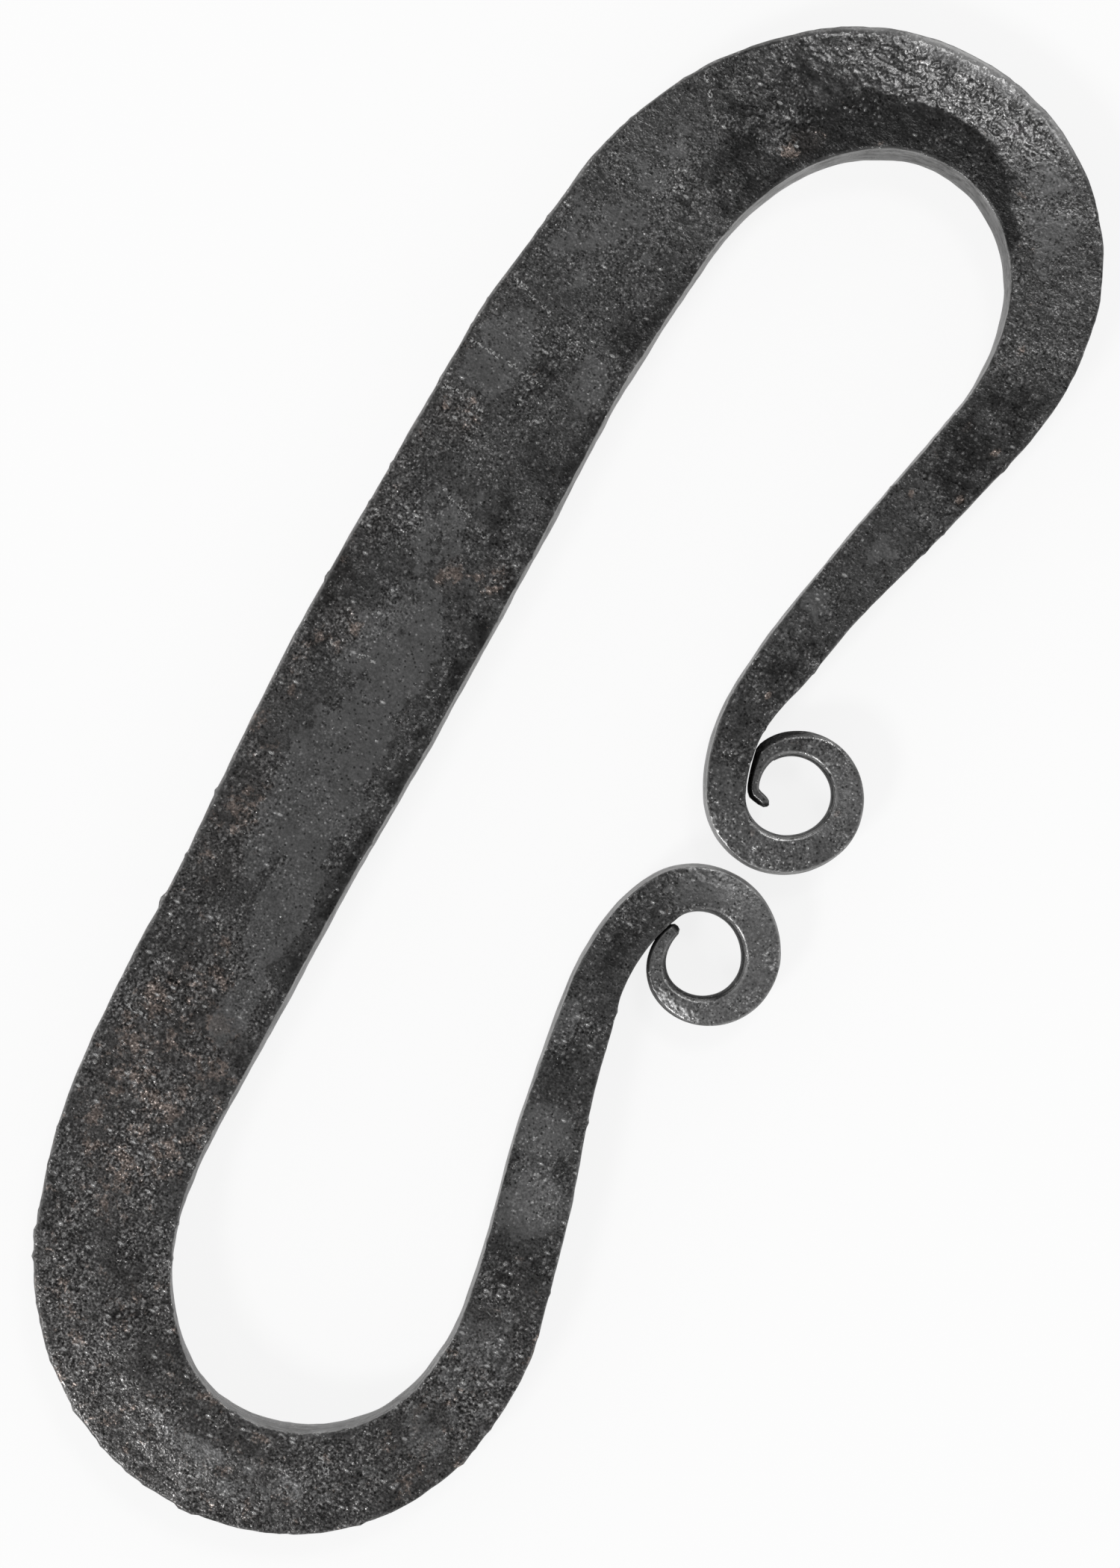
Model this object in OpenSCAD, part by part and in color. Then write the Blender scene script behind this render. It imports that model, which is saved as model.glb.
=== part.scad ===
// Fire steel: one flat steel bar, forged into a C with a scroll at each end.
// It lies flat, face up: +Y runs along the striking bar towards the upper bow,
// +X from the striking edge towards the scrolls, +Z up from the table.
// Lengths are in millimetres and angles in degrees.
// A heading is the way the bar runs, clockwise from +Y.

/* [Overall] */
// Length over both bows
overall_length = 100; // [90:0.5:120]
// Depth from the striking edge to the outside of the scrolls
overall_depth = 35.4; // [33:0.5:42]
// Thickness of the flat stock
stock_t = 4.5; // [3:0.1:7]

/* [Striking bar] */
// Width at the middle of the striking bar
bar_w = 10.5; // [8:0.1:13]

/* [Bows] */
// Width at the far end of each bow
bow_w = 7; // [5:0.1:9]
// Share of the thickness lost at the outside of each bow, where bending stretched it
bow_thinning = 0.2; // [0:0.02:0.4]
// Turn at which each bow opens out into its arm
exit_turn = 166; // [150:1:178]
// Radius of the bend that opens out into the arm
exit_r = 16.5; // [12:0.5:19]

/* [Upper end] */
// Width where the bar starts to bend into the upper bow
upper_shoulder_w = 9.6; // [7.5:0.1:12]
// Angle at which the bar's upper end leans in towards the scrolls
upper_lean = 7; // [0.5:0.5:10]
// Length of the stretch that leans in
upper_lean_len = 7.5; // [4:0.5:12]
// Radius of the slight bend where the bar starts to lean
lean_r = 35; // [20:1:60]
// Turn of the wide bend that leads from the bar into the upper bow
upper_shoulder_turn = 52; // [25:1:60]
// Radius of the upper bow, on the middle line
upper_bow_r = 11; // [9:0.1:13]
// How far the upper bow stands in from the line of the bar
upper_bow_set = 4; // [2:0.1:6]
// Width across the eye of the upper scroll
upper_eye_d = 4.8; // [4:0.1:6]
// Width where the upper scroll starts
upper_scroll_w = 2.7; // [2.2:0.05:3.6]
// Turn of the upper scroll
upper_scroll_turn = 373; // [330:1:385]
// How far the end of the upper tip hooks in
upper_hook = 0.4; // [0:0.05:0.8]

/* [Lower end] */
// Width where the bar starts to bend into the lower bow
lower_shoulder_w = 9.3; // [7.5:0.1:12]
// Turn of the wide bend that leads from the bar into the lower bow
lower_shoulder_turn = 51; // [25:1:60]
// Radius of the lower bow, on the middle line
lower_bow_r = 11.3; // [9:0.1:13]
// How far the lower bow stands in from the line of the bar
lower_bow_set = 2.9; // [2:0.1:6]
// Width across the eye of the lower scroll
lower_eye_d = 4.8; // [4:0.1:6]
// Width where the lower scroll starts
lower_scroll_w = 3.05; // [2.2:0.05:3.6]
// Turn of the lower scroll
lower_scroll_turn = 346; // [330:1:385]

/* [Arms and scrolls] */
// Width where an arm leaves its bow
arm_start_w = 5.4; // [4:0.1:6.5]
// Width where an arm starts to curl
arm_end_w = 3.4; // [2.8:0.1:4.5]
// Thickness where an arm starts to curl
arm_end_t = 3.9; // [2.5:0.1:5.5]
// Radius of the bend that leads an arm into its scroll
lead_r = 10; // [7:0.5:13]
// Where a scroll joins that bend, seen from its eye, counter-clockwise from +X
join_angle = 210; // [195:1:225]
// How far outside its eye a scroll starts
lead_in = 0.45; // [0.2:0.05:0.8]
// Gap between the two scrolls, at the mouth of the C
mouth_gap = 0.8; // [0.4:0.1:6]
// Thickness where a scroll starts
scroll_t = 3.6; // [2.5:0.1:5]
// Width of a scroll's coil where it starts to taper to the tip
coil_w = 1.35; // [1:0.05:1.8]
// Turn over which the coil tapers to the tip
tip_run = 75; // [50:5:120]
// Width at the tip
tip_w = 0.65; // [0.5:0.05:1]
// Thickness at the tip
tip_t = 1.8; // [1.2:0.1:3]
// Gap between a scroll's coil and the arm that it lies against
tip_gap = 0.12; // [0.1:0.02:0.4]

/* [Edges] */
// Rounding of the long edges
edge_r = 0.5; // [0.2:0.05:0.8]
// How far the hammered sides bulge
side_bulge = 0.15; // [0:0.05:0.3]

/* [Hidden] */

// The way the bar runs where the scroll joins its lead bend
join_heading = 360 - join_angle;
// The lower end of the bar runs straight into its shoulder
lower_lean = 0;
lower_lean_len = 0;
// The scroll closes in on its eye over this turn
lead_fade = 120;
// As seen from the eye, the lead bend fills this angle before the join
lead_view = 70;
// The coil tucks in behind the arm over this last part of its turn, and the tip hooks over that
tuck_run = 90;
hook_run = 28;
// Past this turn the coil comes back alongside the arm
meets_arm = 270;
// The lower tip has no hook
lower_hook = 0;
// Half of the thinning is left where the bow opens out into the arm
exit_thinning = bow_thinning / 2;
// The rounding takes at most this share of a side
edge_share = 0.3;
// The forged faces stand this far proud before they are dressed flat
dressing = 0.05;
// The blunt tip: how far it reaches past the last full section, and its share of that
tip_reach = 0.25;
tip_share = 0.55;
// Sections along each stretch of one half of the bar
bar_steps = 6;
lean_steps = 3;
shoulder_steps = 7;
bow_steps = 20;
exit_steps = 4;
arm_steps = 6;
lead_steps = 6;
scroll_steps = 36;
// Turn over which the scroll's direction is measured
nudge = 0.5;
rad = PI / 180;

steel_colour = [0.27, 0.27, 0.28];

function mix(a, b, k) = a + (b - a) * k;
function ease(k) =
    let (q = max(0, min(1, k)))
    q * q * (3 - 2 * q);
function ahead_of(heading) = [sin(heading), cos(heading)];
function right_of(heading) = [cos(heading), -sin(heading)];
function polar(r, angle) = r * [cos(angle), sin(angle)];
function reversed(list) = [for (i = [len(list) - 1 : -1 : 0]) list[i]];

// A smooth curve through values at stations, which never overshoots them
function secant(at, v, k) = (v[k + 1] - v[k]) / (at[k + 1] - at[k]);
function slope(at, v, k) =
    k == 0 ? 0 :
    k == len(at) - 1 ? secant(at, v, k - 1) :
    let (a = secant(at, v, k - 1), b = secant(at, v, k))
    a * b <= 0 ? 0 : 2 * a * b / (a + b);
function station_before(at, s, k = 0) =
    k >= len(at) - 2 || s < at[k + 1] ? k : station_before(at, s, k + 1);
function smooth(at, v, s) =
    let (
        k = station_before(at, s),
        run = at[k + 1] - at[k],
        q = (s - at[k]) / run,
        turn_in = ease(q)
    )
    mix(v[k], v[k + 1], turn_in)
        + run * q * (1 - q) * (slope(at, v, k) * (1 - q) - slope(at, v, k + 1) * q);

// Stretches of the middle line: each point is [place, heading, distance along the bar]
function straight(a, b, heading, steps, s) =
    [for (i = [0 : steps - 1])
        [mix(a, b, i / steps), heading, s + norm(b - a) * i / steps]];
function bend(centre, r, side, from, to, steps, s) =
    [for (i = [0 : steps - 1])
        let (heading = mix(from, to, i / steps))
        [centre + side * r * right_of(heading), heading, s + abs(heading - from) * rad * r]];

// A scroll is [width of its eye, width at its start, turn, hook of its tip].
// It winds round its eye, closes in at the start and tucks its tip in behind the arm.
function join_radius(scroll) = scroll[0] / 2 + lead_in + scroll[1] / 2;
// Distance from the eye to the near edge of the arm, at an angle past the join
function arm_edge(scroll, past) =
    past >= 0 ? scroll[0] / 2 + lead_in * (1 - ease(past / lead_fade)) :
    let (
        q = join_radius(scroll) - lead_r,
        r = lead_r - mix(scroll[1], arm_end_w, min(1, -past / lead_view)) / 2
    )
    q * cos(past) + sqrt(pow(q * cos(past), 2) - q * q + r * r);
function eye_edge(scroll, phi) =
    let (
        tuck = max(0, scroll[0] / 2 + tip_w + tip_gap - arm_edge(scroll, scroll[2] - 360)),
        left = scroll[2] - phi
    )
    arm_edge(scroll, max(0, phi)) - tuck * ease(1 - left / tuck_run) - scroll[3] * ease(1 - left / hook_run);
function scroll_width(scroll, phi) =
    let (
        taper_at = scroll[2] - tip_run,
        taper = phi < taper_at
            ? mix(scroll[1], coil_w, phi / taper_at)
            : mix(coil_w, tip_w, (phi - taper_at) / tip_run),
        room = arm_edge(scroll, phi - 360) - tip_gap - eye_edge(scroll, phi)
    )
    phi < meets_arm ? taper : min(taper, room);
function scroll_place(scroll, phi) =
    polar(eye_edge(scroll, phi) + scroll_width(scroll, phi) / 2, join_angle + phi);
function scroll_outer(scroll, phi) =
    polar(eye_edge(scroll, phi) + scroll_width(scroll, phi), join_angle + phi);
function scroll_heading(scroll, phi) =
    let (ahead = scroll_place(scroll, phi + nudge) - scroll_place(scroll, phi - nudge))
    atan2(ahead[0], ahead[1]);

// Half of the bar, from its middle to a scroll's tip.
// Each section is [place, heading, width, thickness, thinning of the outer side].
function half_bar(shoulder_w, lean, lean_len, shoulder_turn, bow_r, bow_set, scroll) =
    let (
        bow_c = [bow_r + bow_set, overall_length / 2 - bow_r - bow_w / 2],
        // The bar runs straight, leans in through a slight bend, and goes into a wide shoulder,
        // which is tangent to the leaning stretch and to the bow
        lean_in = lean_r * (1 - cos(lean)) + lean_len * sin(lean),
        shoulder_r = (bow_c[0] - lean_in - bow_r * cos(shoulder_turn)) / (cos(lean) - cos(shoulder_turn)),
        shoulder_y = bow_c[1] + shoulder_r * sin(lean) - (shoulder_r - bow_r) * sin(shoulder_turn),
        shoulder_a = [lean_in, shoulder_y],
        shoulder_c = shoulder_a + shoulder_r * right_of(lean),
        lean_end = shoulder_a - lean_len * ahead_of(lean),
        lean_c = lean_end + lean_r * right_of(lean),
        exit_c = bow_c + (exit_r - bow_r) * right_of(exit_turn),
        // The eye stands where the scroll just reaches the depth and the mouth
        turn = scroll[2],
        edge = [for (i = [0 : scroll_steps]) scroll_outer(scroll, turn * i / scroll_steps)],
        reach_out = max([for (e = edge) e[0]]),
        reach_mouth = max([for (e = edge) -e[1]]),
        eye_c = [overall_depth - bar_w / 2 - reach_out, mouth_gap / 2 + reach_mouth],
        lead_c = eye_c + polar(join_radius(scroll) - lead_r, join_angle),
        // The straight arm is the inner tangent of the exit bend and the lead bend
        across = lead_c - exit_c,
        arm_heading = atan2(across[0], across[1]) + asin((exit_r + lead_r) / norm(across)),
        arm_a = exit_c - exit_r * right_of(arm_heading),
        arm_b = lead_c + lead_r * right_of(arm_heading),
        // Distances along the bar at which each stretch starts
        s_lean = lean_c[1],
        s_lean_end = s_lean + lean_r * lean * rad,
        s_shoulder = s_lean_end + lean_len,
        s_bow = s_shoulder + shoulder_r * (shoulder_turn - lean) * rad,
        s_bow_end = s_bow + bow_r * (90 - shoulder_turn) * rad,
        s_exit = s_bow + bow_r * (exit_turn - shoulder_turn) * rad,
        s_arm = s_exit + exit_r * (arm_heading - exit_turn) * rad,
        s_lead = s_arm + norm(arm_b - arm_a),
        s_scroll = s_lead + lead_r * (arm_heading - join_heading) * rad,
        line = concat(
            straight([0, 0], [0, s_lean], 0, bar_steps, 0),
            lean > 0 ? bend(lean_c, lean_r, -1, 0, lean, lean_steps, s_lean) : [],
            lean > 0 ? straight(lean_end, shoulder_a, lean, lean_steps, s_lean_end) : [],
            bend(shoulder_c, shoulder_r, -1, lean, shoulder_turn, shoulder_steps, s_shoulder),
            bend(bow_c, bow_r, -1, shoulder_turn, exit_turn, bow_steps, s_bow),
            bend(exit_c, exit_r, -1, exit_turn, arm_heading, exit_steps, s_exit),
            straight(arm_a, arm_b, arm_heading, arm_steps, s_arm),
            bend(lead_c, lead_r, 1, arm_heading, join_heading, lead_steps, s_lead)
        ),
        at = [0, s_shoulder, s_bow_end, s_exit, s_lead, s_scroll],
        widths = [bar_w, shoulder_w, bow_w, arm_start_w, arm_end_w, scroll[1]],
        full_t = stock_t + 2 * dressing,
        thicknesses = [full_t, full_t, full_t, stock_t, arm_end_t, scroll_t],
        thinnings = [0, 0, bow_thinning, exit_thinning, 0, 0]
    )
    concat(
        [for (p = line)
            [p[0], p[1], smooth(at, widths, p[2]), smooth(at, thicknesses, p[2]), smooth(at, thinnings, p[2])]],
        [for (i = [0 : scroll_steps])
            let (k = i / scroll_steps, phi = turn * k)
            [eye_c + scroll_place(scroll, phi), scroll_heading(scroll, phi),
                scroll_width(scroll, phi), mix(scroll_t, tip_t, k), 0]]
    );

// The same half turned over to the other end, running back towards the bar's middle
function mirrored(half) =
    reversed([for (p = half) [[p[0][0], -p[0][1]], -p[1], p[2], p[3], p[4]]]);

// One more, smaller section past the last one makes the tip blunt
function blunt_end(p, way) =
    [p[0] + way * tip_reach * ahead_of(p[1]), p[1], tip_share * p[2], tip_share * p[3], p[4]];

// Corner points of a section, as [across, up], from the flat side round to the flat face
function corner(w, h, e) =
    let (side = w / 2 - min(side_bulge, edge_share * w / 2))
    [[side, h - e], [side - e * (1 - cos(45)), h - e * (1 - sin(45))], [side - e, h]];
function ring(p) =
    let (
        w = p[2],
        inner_h = p[3] / 2,
        outer_h = inner_h * (1 - p[4]),
        e = min(edge_r, edge_share * w, edge_share * p[3]),
        inner = corner(w, inner_h, e),
        outer = corner(w, outer_h, e),
        outline = concat(
            [[w / 2, 0]],
            inner,
            [for (q = reversed(outer)) [-q[0], q[1]]],
            [[-w / 2, 0]],
            [for (q = outer) [-q[0], -q[1]]],
            [for (q = reversed(inner)) [q[0], -q[1]]]
        ),
        to_right = right_of(p[1])
    )
    [for (q = outline) [p[0][0] + q[0] * to_right[0], p[0][1] + q[0] * to_right[1], stock_t / 2 + q[1]]];

// A closed skin over sections that all have the same number of points
module skin(sections) {
    rings = [for (p = sections) ring(p)];
    count = len(rings[0]);
    last = len(rings) - 1;
    polyhedron(
        points = [for (r = rings) each r],
        faces = concat(
            [[for (j = [count - 1 : -1 : 0]) j]],
            [for (i = [0 : last - 1], j = [0 : count - 1])
                let (k = (j + 1) % count)
                each [
                    [i * count + j, (i + 1) * count + k, (i + 1) * count + j],
                    [i * count + j, i * count + k, (i + 1) * count + k]
                ]],
            [[for (j = [0 : count - 1]) last * count + j]]
        )
    );
}

module fire_steel() {
    upper = half_bar(
        upper_shoulder_w, upper_lean, upper_lean_len, upper_shoulder_turn, upper_bow_r,
        upper_bow_set, [upper_eye_d, upper_scroll_w, upper_scroll_turn, upper_hook]
    );
    lower = mirrored(half_bar(
        lower_shoulder_w, lower_lean, lower_lean_len, lower_shoulder_turn, lower_bow_r,
        lower_bow_set, [lower_eye_d, lower_scroll_w, lower_scroll_turn, lower_hook]
    ));
    lower_sections = [for (i = [0 : len(lower) - 2]) lower[i]];
    sections = concat(
        [blunt_end(lower[0], -1)],
        lower_sections,
        upper,
        [blunt_end(upper[len(upper) - 1], 1)]
    );
    color(steel_colour)
        translate([bar_w / 2 - overall_depth / 2, 0, 0])
            intersection() {
                skin(sections);
                // The anvil and the hammer leave the bar and the bows flat on both faces
                translate([-overall_depth, -overall_length, 0])
                    cube([3 * overall_depth, 2 * overall_length, stock_t]);
            }
}

fire_steel();
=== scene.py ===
import math
from collections import namedtuple
from types import SimpleNamespace

import bpy
import numpy as np
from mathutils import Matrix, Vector, noise


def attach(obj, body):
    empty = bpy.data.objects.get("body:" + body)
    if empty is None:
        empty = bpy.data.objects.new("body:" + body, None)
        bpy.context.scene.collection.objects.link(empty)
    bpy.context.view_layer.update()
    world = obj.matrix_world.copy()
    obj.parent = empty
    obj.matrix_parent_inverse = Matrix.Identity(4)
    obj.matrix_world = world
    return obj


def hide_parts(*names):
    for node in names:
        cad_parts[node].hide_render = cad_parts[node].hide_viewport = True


# A hand-forged fire steel: one flat bar bent into a C, with a scroll at each end.
# The steel is swept along the same middle line as its solid, with the hammered surface on it.

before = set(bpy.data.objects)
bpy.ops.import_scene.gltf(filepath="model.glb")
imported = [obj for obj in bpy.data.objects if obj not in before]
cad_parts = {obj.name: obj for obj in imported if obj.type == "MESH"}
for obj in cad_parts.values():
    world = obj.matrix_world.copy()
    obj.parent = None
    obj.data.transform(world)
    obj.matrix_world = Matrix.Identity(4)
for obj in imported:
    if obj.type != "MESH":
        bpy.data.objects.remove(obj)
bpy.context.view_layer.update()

MM = 0.001

# Sizes of the whole, the striking bar and the bows, in millimetres and degrees, as the solid has them
LENGTH = 100.0
DEPTH = 35.4
STOCK_T = 4.5
BAR_W = 10.5
BOW_W = 7.0
BOW_THINNING = 0.2
EXIT_TURN = 166.0
EXIT_R = 16.5
LEAN_R = 35.0

# Sizes of the arms and of the bends that lead them into the scrolls
ARM_START_W = 5.4
ARM_END_W = 3.4
ARM_END_T = 3.9
LEAD_R = 10.0
JOIN_ANGLE = 210.0
LEAD_IN = 0.45
MOUTH_GAP = 0.8

# Sizes of the scrolls, whose tips are wider and lie closer to the arms than the solid's
SCROLL_T = 3.6
COIL_W = 1.35
TIP_RUN = 75.0
TIP_W = 0.8
TIP_T = 1.8
TIP_GAP = 0.03

# Turn over which a scroll closes in on its eye, and the angle that the lead bend fills as seen from there
LEAD_FADE = 120.0
LEAD_VIEW = 70.0
# Turns over which a scroll tucks in behind its arm and hooks, and past which it lies alongside the arm
TUCK_RUN = 90.0
HOOK_RUN = 28.0
MEETS_ARM = 270.0
# Turn to each side over which a scroll's heading is measured, and the steps that find its reach
NUDGE = 0.5
REACH_STEPS = 36

# The two ends of the bar, of which the upper tip hooks in further than the solid's
UPPER = {
    "shoulder_w": 9.6, "lean": 7.0, "lean_len": 7.5, "shoulder_turn": 52.0, "bow_r": 11.0,
    "bow_set": 4.0, "eye_d": 4.8, "scroll_w": 2.7, "scroll_turn": 373.0, "hook": 0.6,
}
LOWER = {
    "shoulder_w": 9.3, "lean": 0.0, "lean_len": 0.0, "shoulder_turn": 51.0, "bow_r": 11.3,
    "bow_set": 2.9, "eye_d": 4.8, "scroll_w": 3.05, "scroll_turn": 346.0, "hook": 0.0,
}

# The skin: distance between rings, and points along each part of a ring
RING_STEP = 0.33
SCROLL_STEP = 0.26
TOP_POINTS = 44
SIDE_POINTS = 11
BOTTOM_POINTS = 20
CORNER_POINTS = 5


def sin_d(angle):
    return math.sin(math.radians(angle))


def cos_d(angle):
    return math.cos(math.radians(angle))


def ahead_of(heading):
    return np.array([sin_d(heading), cos_d(heading)])


def right_of(heading):
    return np.array([cos_d(heading), -sin_d(heading)])


def polar(r, angle):
    return r * np.array([cos_d(angle), sin_d(angle)])


def mix(a, b, k):
    return a + (b - a) * k


def ease(k):
    q = np.clip(k, 0.0, 1.0)
    return q * q * (3 - 2 * q)


def smooth(at, values, s):
    """A curve through values at stations, which never overshoots them."""
    secants = [(values[k + 1] - values[k]) / (at[k + 1] - at[k]) for k in range(len(at) - 1)]

    def slope(k):
        if k == 0:
            return 0.0
        if k == len(at) - 1:
            return secants[-1]
        a, b = secants[k - 1], secants[k]
        return 0.0 if a * b <= 0 else 2 * a * b / (a + b)

    k = 0
    while k < len(at) - 2 and s >= at[k + 1]:
        k += 1
    run = at[k + 1] - at[k]
    q = (s - at[k]) / run
    bend = run * q * (1 - q) * (slope(k) * (1 - q) - slope(k + 1) * q)
    return mix(values[k], values[k + 1], ease(q)) + bend


class Scroll:
    """A scroll winds round its eye, closes in at the start and tucks its tip in behind the arm."""

    def __init__(self, end):
        self.eye_r = end["eye_d"] / 2
        self.start_w = end["scroll_w"]
        self.turn = end["scroll_turn"]
        self.hook = end["hook"]
        self.join_r = self.eye_r + LEAD_IN + self.start_w / 2

    def arm_edge(self, past):
        if past >= 0:
            return self.eye_r + LEAD_IN * (1 - ease(past / LEAD_FADE))
        q = self.join_r - LEAD_R
        r = LEAD_R - mix(self.start_w, ARM_END_W, min(1, -past / LEAD_VIEW)) / 2
        return q * cos_d(past) + math.sqrt((q * cos_d(past)) ** 2 - q * q + r * r)

    def eye_edge(self, phi):
        tuck = max(0, self.eye_r + TIP_W + TIP_GAP - self.arm_edge(self.turn - 360))
        left = self.turn - phi
        edge = self.arm_edge(max(0, phi)) - tuck * ease(1 - left / TUCK_RUN)
        return edge - self.hook * ease(1 - left / HOOK_RUN)

    def width(self, phi):
        taper_at = self.turn - TIP_RUN
        if phi < taper_at:
            taper = mix(self.start_w, COIL_W, phi / taper_at)
        else:
            taper = mix(COIL_W, TIP_W, (phi - taper_at) / TIP_RUN)
        if phi < MEETS_ARM:
            return taper
        return min(taper, self.arm_edge(phi - 360) - TIP_GAP - self.eye_edge(phi))

    def place(self, phi):
        return polar(self.eye_edge(phi) + self.width(phi) / 2, JOIN_ANGLE + phi)

    def outer(self, phi):
        return polar(self.eye_edge(phi) + self.width(phi), JOIN_ANGLE + phi)

    def heading(self, phi):
        ahead = self.place(phi + NUDGE) - self.place(phi - NUDGE)
        return math.degrees(math.atan2(ahead[0], ahead[1]))


def straight(a, b, heading, s):
    """Points of the middle line, each as place, heading and distance along the bar."""
    length = float(np.linalg.norm(b - a))
    steps = max(1, math.ceil(length / RING_STEP))
    return [(mix(a, b, i / steps), heading, s + length * i / steps) for i in range(steps)]


def bend(centre, r, side, start, end, s):
    """The same along an arc, from one heading to another."""
    length = math.radians(abs(end - start)) * r
    steps = max(1, math.ceil(length / RING_STEP))
    line = []
    for i in range(steps):
        heading = mix(start, end, i / steps)
        line.append((centre + side * r * right_of(heading), heading, s + length * i / steps))
    return line


# One section of the bar, where turn_left is the turn to the scroll's tip, and endless before the scroll
Section = namedtuple("Section", "place heading width thick thin along turn_left")


def half_bar(end):
    """Sections from the bar's middle to a tip."""
    scroll = Scroll(end)
    lean, turn, bow_r = end["lean"], end["shoulder_turn"], end["bow_r"]
    bow_c = np.array([bow_r + end["bow_set"], LENGTH / 2 - bow_r - BOW_W / 2])
    lean_in = LEAN_R * (1 - cos_d(lean)) + end["lean_len"] * sin_d(lean)
    shoulder_r = (bow_c[0] - lean_in - bow_r * cos_d(turn)) / (cos_d(lean) - cos_d(turn))
    shoulder_y = bow_c[1] + shoulder_r * sin_d(lean) - (shoulder_r - bow_r) * sin_d(turn)
    shoulder_a = np.array([lean_in, shoulder_y])
    shoulder_c = shoulder_a + shoulder_r * right_of(lean)
    lean_end = shoulder_a - end["lean_len"] * ahead_of(lean)
    lean_c = lean_end + LEAN_R * right_of(lean)
    exit_c = bow_c + (EXIT_R - bow_r) * right_of(EXIT_TURN)
    edge = [scroll.outer(scroll.turn * i / REACH_STEPS) for i in range(REACH_STEPS + 1)]
    eye_c = np.array([
        DEPTH - BAR_W / 2 - max(e[0] for e in edge),
        MOUTH_GAP / 2 + max(-e[1] for e in edge),
    ])
    lead_c = eye_c + polar(scroll.join_r - LEAD_R, JOIN_ANGLE)
    across = lead_c - exit_c
    spread = math.degrees(math.asin((EXIT_R + LEAD_R) / float(np.linalg.norm(across))))
    arm_heading = math.degrees(math.atan2(across[0], across[1])) + spread
    arm_a = exit_c - EXIT_R * right_of(arm_heading)
    arm_b = lead_c + LEAD_R * right_of(arm_heading)
    join_heading = 360 - JOIN_ANGLE

    s_lean = float(lean_c[1])
    s_lean_end = s_lean + LEAN_R * math.radians(lean)
    s_shoulder = s_lean_end + end["lean_len"]
    s_bow = s_shoulder + shoulder_r * math.radians(turn - lean)
    s_bow_end = s_bow + bow_r * math.radians(90 - turn)
    s_exit = s_bow + bow_r * math.radians(EXIT_TURN - turn)
    s_arm = s_exit + EXIT_R * math.radians(arm_heading - EXIT_TURN)
    s_lead = s_arm + float(np.linalg.norm(arm_b - arm_a))
    s_scroll = s_lead + LEAD_R * math.radians(arm_heading - join_heading)

    line = straight(np.zeros(2), np.array([0, s_lean]), 0.0, 0.0)
    if lean > 0:
        line += bend(lean_c, LEAN_R, -1, 0.0, lean, s_lean)
        line += straight(lean_end, shoulder_a, lean, s_lean_end)
    line += bend(shoulder_c, shoulder_r, -1, lean, turn, s_shoulder)
    line += bend(bow_c, bow_r, -1, turn, EXIT_TURN, s_bow)
    line += bend(exit_c, EXIT_R, -1, EXIT_TURN, arm_heading, s_exit)
    line += straight(arm_a, arm_b, arm_heading, s_arm)
    line += bend(lead_c, LEAD_R, 1, arm_heading, join_heading, s_lead)

    at = [0, s_shoulder, s_bow_end, s_exit, s_lead, s_scroll]
    widths = [BAR_W, end["shoulder_w"], BOW_W, ARM_START_W, ARM_END_W, end["scroll_w"]]
    thicknesses = [STOCK_T, STOCK_T, STOCK_T, STOCK_T, ARM_END_T, SCROLL_T]
    thinnings = [0, 0, BOW_THINNING, BOW_THINNING / 2, 0, 0]
    sections = []
    for place, heading, s in line:
        sizes = [smooth(at, values, s) for values in (widths, thicknesses, thinnings)]
        sections.append(Section(place, heading, *sizes, s, math.inf))
    length = math.radians(scroll.turn) * scroll.join_r
    steps = math.ceil(length / SCROLL_STEP)
    for i in range(steps + 1):
        k = i / steps
        phi = scroll.turn * k
        sections.append(Section(
            eye_c + scroll.place(phi), scroll.heading(phi), scroll.width(phi),
            mix(SCROLL_T, TIP_T, k), 0.0, s_scroll + length * k, scroll.turn - phi,
        ))
    return sections


def mirrored(half):
    """The same half turned over to the other end, running back towards the bar's middle."""
    flip = np.array([1, -1])
    return [q._replace(place=q.place * flip, heading=-q.heading, along=-q.along) for q in reversed(half)]


# Distance along the bar runs from its middle, up to the upper tip and below 0 to the lower tip
sections = mirrored(half_bar(LOWER))[:-1] + half_bar(UPPER)
rings = len(sections)
place = np.array([q.place for q in sections]) + np.array([BAR_W / 2 - DEPTH / 2, 0])
heading = np.array([q.heading for q in sections])
width, thick, thin, along, turn_left = np.array([q[2:] for q in sections]).T
on_upper = along > 0
in_scroll = np.isfinite(turn_left)

# How the hammer left the two edges uneven: distance along the bar and how far the edge stands out
OUTER_WAVER = [
    (-127, 0), (-120, 0.1), (-112, 0.1), (-105, 0), (-101, 0.15), (-95, 0), (-90, -0.15), (-82, 0.15),
    (-72, -0.1), (-63, -0.3), (-54, -0.2), (-43, 0.4), (-33, -0.4), (-25, -0.1), (-16, -0.2), (0, 0.12),
    (23, -0.1), (44, -0.05), (53, -0.18), (62, -0.1), (74, -0.2), (82, -0.15), (90, -0.3), (96, 0.05),
    (101, 0), (106, 0), (112, 0.12), (120, 0.1), (127, 0),
]
INNER_WAVER = [
    (-110, 0), (-104, 0), (-99, -0.2), (-94, 0.1), (-88, 0.3), (-79, 0), (-65, 0.3), (-44, -0.3),
    (-32, 0.15), (-12, -0.25), (0, -0.1), (15, 0.02), (23, 0.05), (32, -0.1), (42, -0.15), (51, 0.25),
    (64, 0.25), (77, 0), (88, 0.1), (94, 0), (98, -0.28), (103, -0.15), (108, 0),
]


def waver(points):
    """How far an edge stands out at each ring."""
    at = [q[0] for q in points]
    values = [q[1] for q in points]
    return np.array([smooth(at, values, s) for s in np.clip(along, at[0], at[-1])])


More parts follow.
